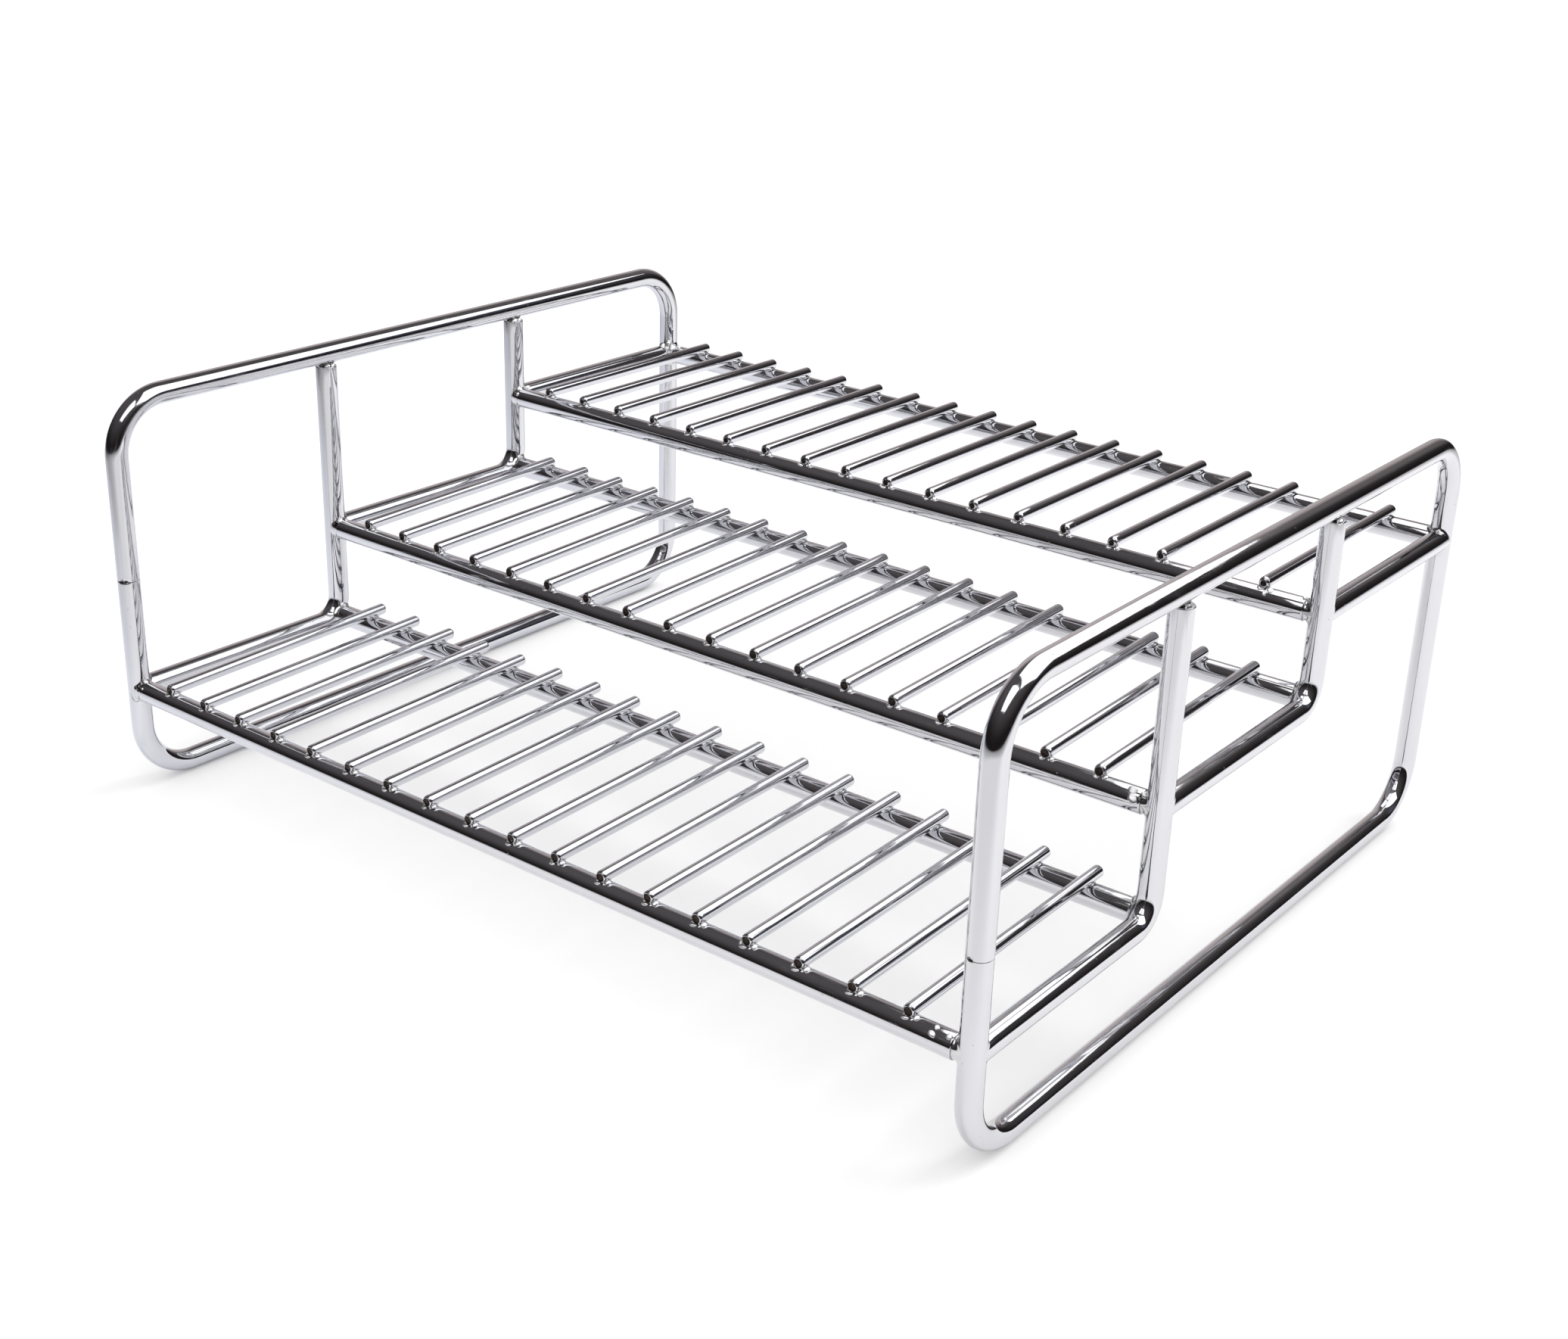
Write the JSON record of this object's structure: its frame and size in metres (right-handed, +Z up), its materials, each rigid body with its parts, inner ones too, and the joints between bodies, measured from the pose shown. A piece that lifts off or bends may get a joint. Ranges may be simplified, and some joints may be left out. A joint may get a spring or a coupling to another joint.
{
  "type": "tiered shoe rack",
  "caption": "Stepped, tiered shoe rack of welded chrome-plated round rod: open rounded side hoops, long rails and thin cross slats that make rising shelves.",
  "frame": {"origin": "centre of the footprint, on the surface that the hoops stand on", "axes": "+X along the shelves to the right, +Y from the low front tier to the high rear tier, +Z up"},
  "size_m": [0.372, 0.3, 0.15],
  "materials": {
    "frame_chrome": "bright mirror chrome plate over 8 mm steel rod, with light plating pits",
    "slat_chrome": "bright mirror chrome plate over 4.2 mm steel wire, cut ends plated over"
  },
  "bodies": {
    "root": {"left_hoop": "frame_chrome", "left_lower_side_rod": "frame_chrome", "left_middle_side_rod": "frame_chrome", "left_upper_side_rail": "frame_chrome", "right_hoop": "frame_chrome", "right_lower_side_rod": "frame_chrome", "right_middle_side_rod": "frame_chrome", "right_upper_side_rail": "frame_chrome", "lower_front_rail": "frame_chrome", "lower_rear_rail": "frame_chrome", "middle_front_rail": "frame_chrome", "middle_rear_rail": "frame_chrome", "upper_front_rail": "frame_chrome", "upper_rear_rail": "frame_chrome", "lower_slat_01": "slat_chrome", "lower_slat_02": "slat_chrome", "lower_slat_03": "slat_chrome", "lower_slat_04": "slat_chrome", "lower_slat_05": "slat_chrome", "lower_slat_06": "slat_chrome", "lower_slat_07": "slat_chrome", "lower_slat_08": "slat_chrome", "lower_slat_12": "slat_chrome", "lower_slat_13": "slat_chrome", "lower_slat_14": "slat_chrome", "lower_slat_15": "slat_chrome", "lower_slat_16": "slat_chrome", "lower_slat_17": "slat_chrome", "lower_slat_18": "slat_chrome", "middle_slat_01": "slat_chrome", "middle_slat_02": "slat_chrome", "middle_slat_03": "slat_chrome", "middle_slat_04": "slat_chrome", "middle_slat_05": "slat_chrome", "middle_slat_06": "slat_chrome", "middle_slat_07": "slat_chrome", "middle_slat_08": "slat_chrome", "middle_slat_12": "slat_chrome", "middle_slat_13": "slat_chrome", "middle_slat_14": "slat_chrome", "middle_slat_15": "slat_chrome", "middle_slat_16": "slat_chrome", "middle_slat_17": "slat_chrome", "middle_slat_18": "slat_chrome", "upper_slat_01": "slat_chrome", "upper_slat_02": "slat_chrome", "upper_slat_03": "slat_chrome", "upper_slat_04": "slat_chrome", "upper_slat_05": "slat_chrome", "upper_slat_06": "slat_chrome", "upper_slat_07": "slat_chrome", "upper_slat_08": "slat_chrome", "upper_slat_12": "slat_chrome", "upper_slat_13": "slat_chrome", "upper_slat_14": "slat_chrome", "upper_slat_15": "slat_chrome", "upper_slat_16": "slat_chrome", "upper_slat_17": "slat_chrome", "upper_slat_18": "slat_chrome"}
  },
  "joints": []
}
